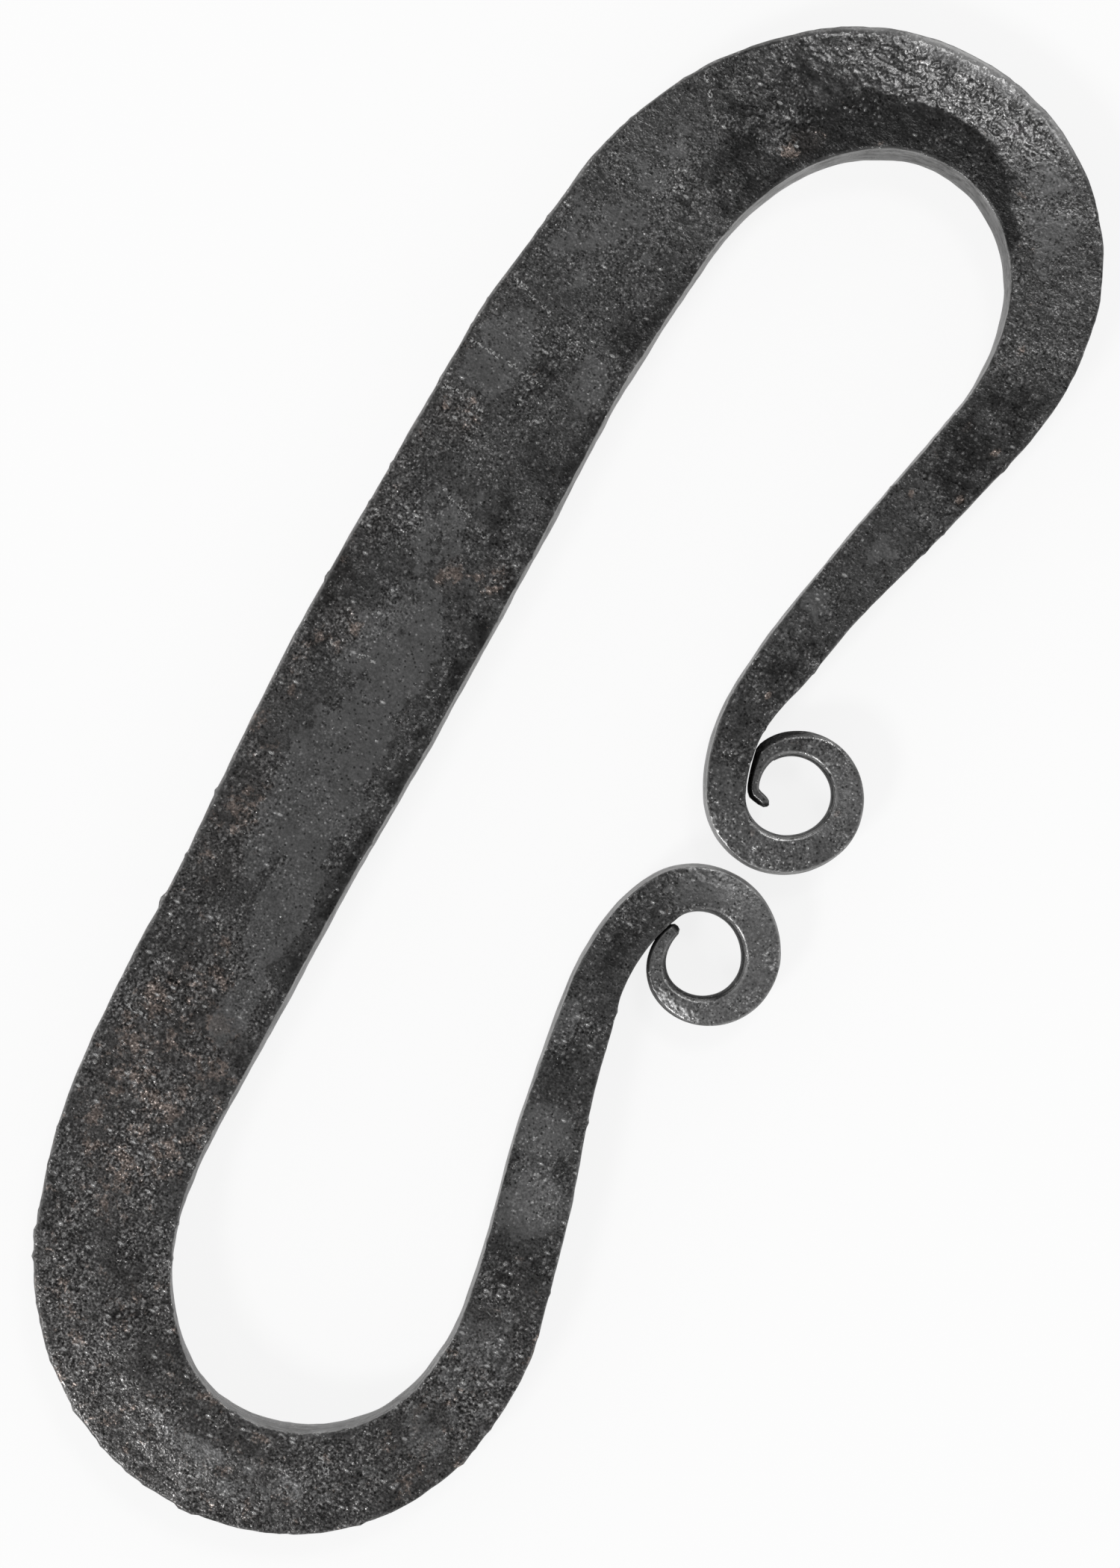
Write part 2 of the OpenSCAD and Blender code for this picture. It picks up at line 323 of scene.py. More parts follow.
def along_bar(points):
    """Values at distances along the bar, with straight runs between."""
    return np.interp(along, [q[0] for q in points], [q[1] for q in points])


outer_shift = waver(OUTER_WAVER)
inner_shift = waver(INNER_WAVER)
rad = np.radians(heading)
right = np.stack([np.cos(rad), -np.sin(rad)], 1)
place = place + right * ((inner_shift - outer_shift) / 2)[:, None]
width = width + inner_shift + outer_shift

# Each face falls away from a ridge to its edge: outwards on the bows, inwards on the scrolls.
# A ridge is a share across the bar, from -1 at the outer edge to 1 at the inner one.
OUTER_RIDGE = [(-70, 0.6), (-50, 0.2), (40, 0.1), (46, 0.0), (50, 0.05), (56, 0.12), (60, 0.45), (64, 0.6)]
SLOPE_GAIN = [
    (-70, 1.3), (-40, 1.1), (30, 0.6), (45, 0.5), (50.5, 0.85), (52.5, 1.7), (55.5, 1.8), (57.5, 0.9),
    (59, 0.4), (63, 0.48),
]
outer_ridge = along_bar(OUTER_RIDGE)
outer_drop = thick / 2 * thin * along_bar(SLOPE_GAIN)

# The inward fall grows on the lead bend, from a distance along, and has faded out at a turn before the tip
INNER_RIDGE = -0.6
SCROLL_DROP = 0.22
LEAD_DROP_FROM = 92.0
LEAD_DROP_RUN = 12.0
UPPER_DROP_END = 150.0
LOWER_DROP_END = 70.0
DROP_END_RUN = 80.0
lead_share = ease((np.abs(along) - LEAD_DROP_FROM) / LEAD_DROP_RUN)
coil_share = ease((turn_left - np.where(on_upper, UPPER_DROP_END, LOWER_DROP_END)) / DROP_END_RUN)
inner_drop = SCROLL_DROP * np.where(in_scroll, coil_share, lead_share)

# The lower coil has a flat that catches the light
FLAT_AT = -123.0
FLAT_HALF = 3.0
FLAT_DROP = 0.34
inner_drop = inner_drop + FLAT_DROP * ease(1 - np.abs(along - FLAT_AT) / FLAT_HALF)

# The coil is bevelled outside, towards its tip, and the upper tip ends in a narrow stub
UPPER_BEVEL = 0.2
LOWER_BEVEL = 0.06
BEVEL_FROM = 150.0
BEVEL_RUN = 60.0
STUB_FROM = 30.0
STUB_RUN = 14.0
STUB_SHARE = 0.85
bevel = np.where(on_upper, UPPER_BEVEL, LOWER_BEVEL) * ease((BEVEL_FROM - turn_left) / BEVEL_RUN)
stub = np.where(on_upper, ease((STUB_FROM - turn_left) / STUB_RUN), 0.0)
width = width * mix(1.0, STUB_SHARE, stub)

# How far the middle of each side stands out past its edges
INNER_BULGE = [
    (-131, 0.05), (-118, 0.05), (-106, 0.14), (-95, 0.16), (-85, 0.08), (-76, 0.1), (-70, 0.2), (-62, 0.12),
    (-52, 0.03), (-40, 0.05), (-25, 0.12), (40, 0.12), (50, 0.3), (58, 0.3), (66, 0.16), (74, 0.04),
    (94, 0.05), (100, 0.14), (106, 0.16), (118, 0.05), (131, 0.05),
]
OUTER_BULGE = [
    (-131, 0.05), (-125, 0.2), (-108, 0.22), (-104, 0.06), (-90, 0.06), (-60, 0.1), (0, 0.15), (42, 0.12),
    (47, 0.02), (60, 0.02), (90, 0.06), (103, 0.05), (107, 0.16), (124, 0.16), (131, 0.05),
]
BULGE_SHARE = 0.16
inner_bulge = np.minimum(along_bar(INNER_BULGE), BULGE_SHARE * width)
outer_bulge = np.minimum(along_bar(OUTER_BULGE), BULGE_SHARE * width)

# The side below the lower bow's inner edge runs back under it
UNDERCUT = [(-57, 0), (-50, 0.35), (-39, 0.35), (-30, 0)]
undercut = along_bar(UNDERCUT)

# How round the edges are worn
INNER_EDGE = [(-131, 0.11), (116, 0.11), (121, 0.18), (131, 0.18)]
OUTER_EDGE = [
    (-131, 0.2), (-107, 0.2), (-102, 0.11), (-60, 0.15), (-45, 0.26), (40, 0.26), (48, 0.55), (59, 0.5),
    (64, 0.14), (102, 0.11), (107, 0.2), (131, 0.18),
]
EDGE_SHARE = 0.14
inner_edge = np.minimum(along_bar(INNER_EDGE), EDGE_SHARE * width)
outer_edge = np.minimum(along_bar(OUTER_EDGE), EDGE_SHARE * width)

# Share of the upper half of a side at which the bevel starts
CHAMFER_FROM = 0.5


def corner_arc(centre_u, centre_v, r, start, end):
    angles = np.radians(np.linspace(start, end, CORNER_POINTS))
    return centre_u + r * np.cos(angles), centre_v + r * np.sin(angles)


def section(i):
    """Points of ring i as distances across and up from its middle."""
    w = width[i]
    half = thick[i] / 2
    b_in, b_out = inner_bulge[i], outer_bulge[i]
    e_in, e_out = inner_edge[i], outer_edge[i]
    slant = bevel[i] * w
    left_u = b_out + e_out - w / 2
    right_u = w / 2 - b_in - e_in - slant
    top_u = np.linspace(left_u, right_u, TOP_POINTS)
    q = 2 * top_u / w
    fall_out = np.clip((outer_ridge[i] - q) / (outer_ridge[i] + 1), 0, 1)
    fall_in = np.clip((q - INNER_RIDGE) / (1 - INNER_RIDGE), 0, 1) ** 2
    top_v = half - outer_drop[i] * fall_out - inner_drop[i] * fall_in
    left_h, right_h = top_v[0] - e_out, top_v[-1] - e_in
    low_out = half * (1 - thin[i])
    inner_v = np.linspace(right_h, e_in - half, SIDE_POINTS + 2)[1:-1]
    lift = np.clip(inner_v / right_h, 0, 1)
    sag = np.clip(-inner_v / (half - e_in), 0, 1)
    chamfer = np.clip((lift - CHAMFER_FROM) / (1 - CHAMFER_FROM), 0, 1)
    inner_u = w / 2 - b_in * (lift ** 2 + sag ** 2) - slant * chamfer
    inner_u = inner_u - undercut[i] * (right_h - inner_v) / (right_h + half)
    outer_v = np.linspace(e_out - low_out, left_h, SIDE_POINTS + 2)[1:-1]
    lift = np.clip(outer_v / left_h, 0, 1)
    sag = np.clip(-outer_v / (low_out - e_out), 0, 1)
    outer_u = b_out * (lift ** 2 + sag ** 2) - w / 2
    low_right = w / 2 - b_in - e_in - undercut[i]
    bottom_u = np.linspace(low_right, left_u, BOTTOM_POINTS + 2)[1:-1]
    bottom_v = -mix(low_out, half, (bottom_u - left_u) / (low_right - left_u))
    parts = [
        (top_u[1:-1], top_v[1:-1]), corner_arc(right_u, right_h, e_in, 90, 0),
        (inner_u, inner_v), corner_arc(low_right, e_in - half, e_in, 0, -90),
        (bottom_u, bottom_v), corner_arc(left_u, e_out - low_out, e_out, 270, 180),
        (outer_u, outer_v), corner_arc(left_u, left_h, e_out, 180, 90),
    ]
    return np.concatenate([p[0] for p in parts]), np.concatenate([p[1] for p in parts])


POINTS = TOP_POINTS - 2 + BOTTOM_POINTS + 2 * SIDE_POINTS + 4 * CORNER_POINTS
skin = np.zeros((rings, POINTS, 3))
across = np.zeros((rings, POINTS))
for i in range(rings):
    u, v = section(i)
    skin[i, :, 0] = place[i, 0] + u * right[i, 0]
    skin[i, :, 1] = place[i, 1] + u * right[i, 1]
    skin[i, :, 2] = STOCK_T / 2 + v
    across[i] = 2 * u / width[i]

# Points of a ring by where they lie: the two upper corners are the rims
OUTERMOST_POINTS = 3
order = np.arange(POINTS)
first_corner = TOP_POINTS - 2
last_corner = POINTS - CORNER_POINTS
on_top = order < first_corner
inner_rim = (order >= first_corner) & (order < first_corner + CORNER_POINTS)
outer_rim = order >= last_corner
outermost = outer_rim & (order < last_corner + OUTERMOST_POINTS)

SHORTEST_NORMAL = 1e-9
SEED_STEP = (17.3, -9.1, 5.7)


def normals_of(grid):
    """Outward directions at each point of a grid of rings."""
    run = np.gradient(grid, axis=0)
    round_ring = np.roll(grid, -1, axis=1) - np.roll(grid, 1, axis=1)
    n = np.cross(round_ring, run)
    n = n / np.maximum(np.linalg.norm(n, axis=2, keepdims=True), SHORTEST_NORMAL)
    return n if n[:, on_top, 2].mean() > 0 else -n


def wave(points, size, seed):
    """Smooth noise from -1 to 1 at points, with bumps of about that size in millimetres."""
    shift = Vector([step * seed for step in SEED_STEP])
    values = [noise.noise(Vector(p) / size + shift) for p in points.reshape(-1, 3)]
    return np.array(values).reshape(points.shape[:-1])


# Spots on the faces, as distance along, share across, half length, half width and level.
# Of the tones, level 1 is burnished grey and -1 the darkest scale.
TONES = [
    (-21.5, 0.5, 3.0, 0.22, 1.0), (-15.0, 0.38, 4.5, 0.34, 1.0), (-7.0, 0.1, 6.0, 0.6, 1.0),
    (-12.0, -0.15, 2.5, 0.25, 0.9), (1.5, 0.1, 5.0, 0.5, 0.9), (10.0, -0.1, 4.0, 0.35, 0.6),
    (20.0, -0.5, 3.2, 0.36, 0.9), (31.0, -0.4, 6.5, 0.5, 0.5), (21.5, 0.6, 2.0, 0.27, 1.0),
    (29.0, 0.5, 2.5, 0.3, 0.5), (34.0, 0.6, 3.0, 0.3, 0.5), (-53.0, 0.05, 4.5, 0.25, 0.7),
    (-60.0, -0.1, 4.0, 0.3, 0.5), (-87.8, 0.2, 2.0, 0.8, 1.35), (-83.6, 0.0, 2.5, 0.85, 1.45),
    (-85.8, -0.4, 0.6, 0.5, -0.7), (-94.5, 0.55, 1.8, 0.4, 1.1), (-115.0, 0.0, 11.0, 1.2, 1.63),
    (62.5, -0.2, 4.5, 0.7, 0.5), (85.0, -0.2, 4.0, 0.5, 0.35), (92.0, 0.4, 2.5, 0.5, 0.6),
    # The spot at 128 lightens the upper tip: painted light against the shade of the arm
    (113.0, 0.0, 10.0, 1.2, 1.3), (128.0, -0.3, 5.0, 0.7, 1.0), (-127.0, 0.0, 5.0, 1.0, 1.2),
    # The dark spots at 47.5, 54 and 60.5 on the upper bow's inner half are partly dark scale, partly
    # painted shade
    (-72.0, 0.0, 6.0, 1.0, 0.6), (-55.0, -0.2, 3.5, 0.3, 0.6), (47.5, 0.6, 5.5, 0.5, -1.5),
    (54.0, 0.65, 6.5, 0.55, -1.5), (46.0, -0.5, 3.0, 0.9, -0.5), (60.5, 0.9, 3.5, 0.35, -1.2),
    (39.0, 0.5, 6.0, 0.5, -0.75), (43.0, -0.5, 4.5, 0.8, -0.55), (77.0, 0.0, 5.0, 0.9, -0.75),
    (97.0, 0.0, 3.5, 0.8, -0.5), (-101.0, -0.1, 3.2, 0.5, -0.7), (-47.0, -0.3, 5.0, 0.5, -0.25),
    (-92.0, 0.3, 2.3, 0.5, -0.35), (-79.5, 0.0, 2.2, 0.9, -0.4), (-43.0, 0.45, 6.0, 0.45, -0.25),
    # The spot at 53.5 by the upper bow's outer rim is a painted highlight, lighter than burnished grey
    (-52.0, -0.75, 9.0, 0.3, -0.3), (53.5, -1.0, 6.0, 0.3, 1.7), (-23.0, -0.1, 4.0, 0.3, -0.4),
    (3.5, -0.75, 5.0, 0.25, -0.5), (12.5, 0.55, 5.0, 0.33, -0.45), (16.3, -0.6, 1.7, 0.4, -0.55),
    (28.5, 0.7, 6.0, 0.28, -0.5), (20.5, 0.05, 2.6, 0.2, -0.45), (32.4, -0.5, 1.1, 0.2, -0.6),
    (-14.0, -0.7, 9.0, 0.3, -0.2), (0.0, 0.9, 26.0, 0.14, -0.6),
]
RUSTY = [
    (-50.0, 0.0, 15.0, 1.3, 0.6), (-70.0, 0.0, 9.0, 1.2, 0.6), (-28.0, 0.0, 10.0, 0.9, 1.0),
    (-43.0, -0.6, 8.0, 0.5, 0.7), (-63.0, -0.3, 5.0, 0.8, 0.4), (-5.0, -0.9, 30.0, 0.25, 0.5),
    (-12.0, -0.6, 5.0, 0.4, 0.8), (7.3, 0.25, 1.2, 0.15, 1.2), (8.3, 0.7, 1.2, 0.2, 1.0),
    (1.5, -0.5, 1.5, 0.3, 0.9), (16.0, -0.6, 1.5, 0.3, 0.9), (43.0, 0.6, 1.5, 0.2, 0.9),
    (71.0, 0.4, 0.4, 0.12, 1.0), (77.1, -0.5, 0.4, 0.12, 1.4), (77.0, 0.5, 0.4, 0.1, 1.2),
    (80.6, -0.65, 0.4, 0.15, 1.4), (82.3, 0.45, 0.4, 0.12, 1.4), (97.0, -0.3, 0.4, 0.12, 1.2),
    (107.0, -0.5, 0.4, 0.25, 1.2), (115.5, -0.5, 0.4, 0.2, 1.2),
]
# Where the surface breaks up into glinting facets
GLITTER = [
    (53.0, -0.45, 6.0, 0.75, 1.0), (46.0, -0.4, 4.0, 0.8, 0.7), (105.0, 0.4, 4.5, 0.9, 0.8),
    (-123.0, 0.6, 2.5, 0.8, 1.0), (-106.0, 0.6, 2.0, 0.5, 0.6),
]
# Where loose scale stands up in glinting specks
SPECKS = [
    (-47.0, 0.0, 20.0, 1.3, 1.0), (-72.0, 0.0, 8.0, 1.1, 1.0), (-25.0, -0.4, 8.0, 0.6, 0.8),
    (40.0, 0.25, 4.0, 0.5, 1.5), (34.5, 0.15, 1.5, 0.3, 2.0), (20.0, 0.15, 3.5, 0.25, 2.0),
    (17.0, -0.6, 1.4, 0.3, 1.8), (7.5, 0.85, 2.0, 0.15, 2.5), (8.5, -0.6, 1.6, 0.3, 1.8),
    (4.0, -0.1, 2.0, 0.2, 1.5), (0.5, 0.85, 1.5, 0.15, 2.5), (-92.0, 0.0, 4.0, 1.0, 0.6),
    (104.0, 0.3, 4.0, 0.8, 0.4), (-104.0, 0.2, 4.0, 0.8, 0.5), (-85.0, 0.0, 4.0, 1.0, 0.6),
    (115.0, 0.0, 10.0, 1.3, 0.75), (-115.0, 0.0, 11.0, 1.3, 0.55),
]
# The hammer's marks across the bar, each from one point to another, as distance along and share across
MARKS = [
    ((0.4, -0.3), (0.6, 0.05)), ((11.6, -0.3), (11.0, 0.05)), ((11.0, 0.05), (10.3, 0.38)),
    ((17.2, -0.9), (16.8, -0.35)), ((20.3, -0.9), (19.9, 0.1)), ((24.3, -0.85), (23.8, -0.25)),
    ((33.9, -0.15), (34.6, 0.2)), ((39.6, -0.85), (38.6, -0.2)), ((-61.0, 0.05), (-60.7, 0.75)),
    ((-24.6, -0.75), (-24.9, -0.3)),
]
# A spot is full up to the first share of its half size, and fades out over the second
SPOT_CORE = 0.6
SPOT_FADE = 0.8


def spotted(spots):
    """Soft spots at every point of the skin, the strongest of those that overlap."""
    high = np.zeros((rings, POINTS))
    low = np.zeros((rings, POINTS))
    for s, q, half_len, half_w, level in spots:
        away = np.hypot((along[:, None] - s) / half_len, (across - q) / half_w)
        here = level * (1 - ease((away - SPOT_CORE) / SPOT_FADE))
        high = np.maximum(high, here)
        low = np.minimum(low, here)
    return high + low


tone = spotted(TONES)
rust = spotted(RUSTY)
glitter = spotted(GLITTER)
specks = spotted(SPECKS)

# Hammered unevenness: height and size of each kind of bump in millimetres, and its seed
DENTS = (0.06, 7.0, 1)
RIPPLES = (0.03, 2.4, 2)
ROUGHNESS = (0.02, 0.9, 3)
FACETS = (0.04, 0.8, 4)
FLAKES = (0.06, 1.1, 8)
NICKS = (0.04, 0.6, 6)
# How high the ridges of the flakes stand
FLAKE_RISE = 0.015
# Burrs stand out of the rims where waves of a size pass a level, by a height that changes along the bar
BURR_SIZE = 0.7
BURR_SEED = 5
BURR_FROM = 0.3
BURR_HEIGHT = [
    (-110, 0.1), (-100, 0.3), (-60, 0.4), (-45, 0.4), (30, 0.35), (42, 0.05), (70, 0.05), (80, 0.3),
    (100, 0.3), (110, 0.1),
]
# How much burnished places are smoother, and how bumps shrink on stretches narrower than a width
CALMED = 0.6
FULL_BUMP_W = 5.0
LEAST_BUMP = 0.2


def bumps_of(height, size, seed):
    return height * wave(skin, size, seed)


out = normals_of(skin)
sideways = 1 - np.abs(out[:, :, 2])
calm = 1 - CALMED * np.clip(tone, 0, 1)
burr = np.clip(wave(skin, BURR_SIZE, BURR_SEED) - BURR_FROM, 0, 1) * along_bar(BURR_HEIGHT)[:, None]
rims = (inner_rim | outer_rim)[None, :]
bumps = bumps_of(*DENTS) + bumps_of(*RIPPLES) * (1 + sideways)
bumps += bumps_of(*ROUGHNESS) * calm * (1 + sideways)
bumps += glitter * np.abs(bumps_of(*FACETS))
bumps += np.minimum(specks, 1) * (FLAKE_RISE - np.abs(bumps_of(*FLAKES)))
bumps += rims * (burr + bumps_of(*NICKS))
small = np.clip(width / FULL_BUMP_W, LEAST_BUMP, 1)[:, None]
skin = skin + out * (bumps * small)[:, :, None]
skin[:, :, 2] = np.maximum(skin[:, :, 2], 0.0)

# The rims show bright where they are worn and where a painted highlight lies on them, most round the eyes
# and on the coils. On the upper bow the outermost part of the rim carries more, as a painted highlight.
INNER_WEAR_AND_HIGHLIGHT = [
    (-131, 0.5), (-104, 0.5), (-98, 0.3), (-90, 0.2), (-60, 0.2), (40, 0.2), (50, 0.6), (62, 0.5),
    (70, 0.15), (94, 0.15), (100, 0.5), (131, 1.0),
]
OUTER_WEAR_AND_HIGHLIGHT = [
    (-131, 0.5), (-125, 0.7), (-107, 0.7), (-104, 0.1), (43, 0.1), (48, 0.35), (51, 0.45), (57, 0.45),
    (61, 0.1), (104, 0.1), (107, 0.8), (126, 0.8), (131, 0.6),
]
BOW_RIM_HIGHLIGHT = [(45, 0.0), (50, 0.7), (57, 0.7), (61, 0.0)]
# The wear and painted highlight come and go: their usual level, how far they swing, and the waves that they
# follow
WEAR_AND_HIGHLIGHT_LEVEL = 0.6
WEAR_AND_HIGHLIGHT_SWING = 1.3
WEAR_AND_HIGHLIGHT_SIZE = 1.6
WEAR_AND_HIGHLIGHT_SEED = 7
wear_and_highlight = np.zeros((rings, POINTS))
for part, levels in ((inner_rim, INNER_WEAR_AND_HIGHLIGHT), (outer_rim, OUTER_WEAR_AND_HIGHLIGHT), (outermost, BOW_RIM_HIGHLIGHT)):
    wear_and_highlight = wear_and_highlight + part[None, :] * along_bar(levels)[:, None]
rim = wear_and_highlight * np.clip(WEAR_AND_HIGHLIGHT_LEVEL + WEAR_AND_HIGHLIGHT_SWING * wave(skin, WEAR_AND_HIGHLIGHT_SIZE, WEAR_AND_HIGHLIGHT_SEED), 0, 1)

# The sides towards the inside of the C are bare steel lightened by a painted sheen, the striking side less,
# and the eyes' walls are darkened as painted shade
BARE_AND_SHEEN = [
    (-131, 0.1), (-114, 0.2), (-106, 1.2), (-76, 1.2), (-68, 0.7), (-30, 0.7), (-20, 1.0), (42, 1.0),
    (47, 0.65), (66, 0.65), (76, 1.2), (108, 1.2), (116, 0.2), (131, 0.1),
]
STRUCK = [(-62, 0.0), (-45, 0.4), (45, 0.4), (62, 0.0)]
STRUCK_RUST = [(-50, 0.0), (-35, 0.9), (35, 0.9), (50, 0.0)]
# A face counts as a side by how far it looks sideways, and the eyes start at a distance along the bar
WALL_FROM = 0.15
WALL_RUN = 0.3
EYE_FROM = 96.0
EYE_RUN = 8.0
EYE_WALL_SHADE = -1.0
wall = np.clip((sideways - WALL_FROM) / WALL_RUN, 0, 1)
inside = across > 0
outer_wall = wall * ~inside
side = wall * np.where(inside, along_bar(BARE_AND_SHEEN)[:, None], along_bar(STRUCK)[:, None])
# The eyes' walls are darkened to the darkest tone: painted shade inside the scrolls' holes
tone = mix(tone, EYE_WALL_SHADE, outer_wall * ease((np.abs(along) - EYE_FROM) / EYE_RUN)[:, None])
rust = np.maximum(rust, outer_wall * along_bar(STRUCK_RUST)[:, None])

# Blunt tips close the skin
TIP_REACH = 0.25
TIP_SHARE = 0.55
TIP_END = 1.2


def tip(last, before):
    """A smaller ring past the last one, and the point that closes it."""
    centre = last.mean(axis=0)
    ahead = centre - before.mean(axis=0)
    ahead = TIP_REACH * ahead / np.linalg.norm(ahead)
    return centre + TIP_SHARE * (last - centre) + ahead, centre + TIP_END * ahead


def with_tips(field):
    """A field of the skin with the tips' rings and points added."""
    rows = np.concatenate([field[:1], field, field[-1:]]).reshape(-1)
    return np.append(rows, [field[0].mean(), field[-1].mean()])


low_ring, low_point = tip(skin[0], skin[1])
high_ring, high_point = tip(skin[-1], skin[-2])
grid = np.concatenate([low_ring[None], skin, high_ring[None]])
count = len(grid)
verts = np.concatenate([grid.reshape(-1, 3), low_point[None], high_point[None]]) * MM

# Faces between the rings, and round each tip
ring, point = np.meshgrid(np.arange(count - 1), np.arange(POINTS), indexing="ij")
after = (point + 1) % POINTS
here = ring * POINTS
ahead = here + POINTS
quads = np.stack([here + point, here + after, ahead + after, ahead + point], 2).reshape(-1, 4)
low_index = count * POINTS
high_index = low_index + 1
last_ring = (count - 1) * POINTS
caps = [(low_index, (n + 1) % POINTS, n) for n in range(POINTS)]
caps += [(high_index, last_ring + n, last_ring + (n + 1) % POINTS) for n in range(POINTS)]

# A map for the bake: three strips along the bar, and a small circle for each tip
STRIPS = 3
STRIP_LENGTH = 0.96
STRIP_MARGIN = 0.01
STRIP_HEIGHT = 1 - 2 * STRIP_MARGIN
CAP_R = 0.015
CAP_U = 0.98
LOW_CAP_V = 0.25
HIGH_CAP_V = 0.75
per_strip = math.ceil((count - 1) / STRIPS)
strip = ring // per_strip
u_low = STRIP_LENGTH * (ring - strip * per_strip) / per_strip
u_high = STRIP_LENGTH * (ring + 1 - strip * per_strip) / per_strip
v_low = (strip + STRIP_MARGIN + STRIP_HEIGHT * point / POINTS) / STRIPS
v_high = (strip + STRIP_MARGIN + STRIP_HEIGHT * (point + 1) / POINTS) / STRIPS
quad_uv = np.stack([
    np.stack([u_low, v_low], 2), np.stack([u_low, v_high], 2),
    np.stack([u_high, v_high], 2), np.stack([u_high, v_low], 2),
], 2).reshape(-1, 2)
turns = 2 * math.pi * np.arange(POINTS + 1) / POINTS
cap_uv = []
for cap_v, first, second in ((LOW_CAP_V, 1, 0), (HIGH_CAP_V, 0, 1)):
    middle = np.array([CAP_U, cap_v])
    circle = middle + CAP_R * np.stack([np.cos(turns), np.sin(turns)], 1)
    for n in range(POINTS):
        cap_uv += [middle, circle[n + first], circle[n + second]]

# The mesh carries what the material needs to know of each place
fields = {
    "tone": tone, "rust": rust, "glitter": glitter, "specks": specks, "rim": rim, "side": side,
    "along": np.repeat(along[:, None], POINTS, axis=1),
}
mesh = bpy.data.meshes.new("fire_steel_skin")
mesh.from_pydata(verts.tolist(), [], quads.tolist() + caps)
mesh.polygons.foreach_set("use_smooth", [True] * len(mesh.polygons))
uv_map = mesh.uv_layers.new(name="OFBake")
uv_map.uv.foreach_set("vector", np.concatenate([quad_uv, np.array(cap_uv)]).astype(np.float32).ravel())
for name, field in fields.items():
    layer = mesh.attributes.new(name, "FLOAT", "POINT")
    layer.data.foreach_set("value", with_tips(field).astype(np.float32))
mesh.update()
steel = bpy.data.objects.new("forged_steel_bar", mesh)
bpy.context.scene.collection.objects.link(steel)

WHITE = (1, 1, 1, 1)


def add(tree, kind, settings=None, sockets=None):
    """A shader node with its settings, and with its sockets set to values or joined to other nodes."""
    made = tree.nodes.new(kind)
    for name, value in (settings or {}).items():
        setattr(made, name, value)
    for name, value in (sockets or {}).items():
        if isinstance(value, bpy.types.NodeSocket):
            tree.links.new(value, made.inputs[name])
        else:
            made.inputs[name].default_value = value
    return made


def math_of(tree, operation, a, b=0.0, c=0.0):
    return add(tree, "ShaderNodeMath", {"operation": operation}, {0: a, 1: b, 2: c}).outputs[0]


def vector_of(tree, operation, a, b):
    return add(tree, "ShaderNodeVectorMath", {"operation": operation}, {0: a, 1: b})


def scaled(tree, vector, by):
    sockets = {0: vector, "Scale": by}
    return add(tree, "ShaderNodeVectorMath", {"operation": "SCALE"}, sockets).outputs[0]


def product(tree, a, b):
    return math_of(tree, "MULTIPLY", a, b)


def weighted(tree, start, parts):
    """A start plus each part times its weight."""
    total = start
    for part, weight in parts:
        total = math_of(tree, "MULTIPLY_ADD", part, weight, total)
    return total


def step_of(tree, value, start, end, to_start=0.0, to_end=1.0):
    """A smooth step, from one level where value is at start to another where it is at end."""
    sockets = {"Value": value, "From Min": start, "From Max": end, "To Min": to_start, "To Max": to_end}
    return add(tree, "ShaderNodeMapRange", {"interpolation_type": "SMOOTHSTEP"}, sockets).outputs["Result"]


def mixed(tree, factor, a, b, blend="MIX"):
    """Colour a at factor 0 and b at 1."""
    settings = {"data_type": "RGBA", "blend_type": blend}
    return add(tree, "ShaderNodeMix", settings, {0: factor, 6: a, 7: b}).outputs[2]


def grain(tree, at, kind):
    """Noise of one kind, mostly between 0.3 and 0.7."""
    scale, detail, rough = kind
    sockets = {"Vector": at, "Scale": scale, "Detail": detail, "Roughness": rough}
    return add(tree, "ShaderNodeTexNoise", None, sockets).outputs["Fac"]


def swing(tree, at, kind):
    """The same noise, about 0."""
    return math_of(tree, "SUBTRACT", grain(tree, at, kind), 0.5)


def flecks(tree, at, kind):
    """A round fleck in each cell, and a random number for each cell."""
    scale, rim, core = kind
    made = add(tree, "ShaderNodeTexVoronoi", None, {"Vector": at, "Scale": scale})
    pick = add(tree, "ShaderNodeSeparateColor", None, {0: made.outputs["Color"]})
    return step_of(tree, made.outputs["Distance"], rim, core), pick.outputs[0]


def some_flecks(tree, at, kind, share):
    """Flecks in that share of the cells."""
    fleck, pick = flecks(tree, at, kind)
    return product(tree, fleck, math_of(tree, "LESS_THAN", pick, share))


def on_bar(s, q):
    """The place on the face at a distance along the bar and a share across."""
    middle = [np.interp(s, along, place[:, k]) for k in range(2)]
    reach = q * np.interp(s, along, width) / 2
    return Vector([middle[k] + reach * np.interp(s, along, right[:, k]) for k in range(2)] + [0.0])


# Marks farther away than this make no difference, in millimetres
FAR = 9.0


def mark_distance(tree, flat):
    """Distance to the nearest of the hammer's marks."""
    nearest = FAR
    for first, last in MARKS:
        start = on_bar(*first)
        run = on_bar(*last) - start
        away = vector_of(tree, "SUBTRACT", flat, start).outputs[0]
        share = vector_of(tree, "DOT_PRODUCT", away, run / run.length_squared).outputs["Value"]
        held = add(tree, "ShaderNodeClamp", None, {"Value": share}).outputs[0]
        gap = vector_of(tree, "DISTANCE", away, scaled(tree, run, held)).outputs["Value"]
        nearest = math_of(tree, "MINIMUM", gap, nearest)
    return nearest


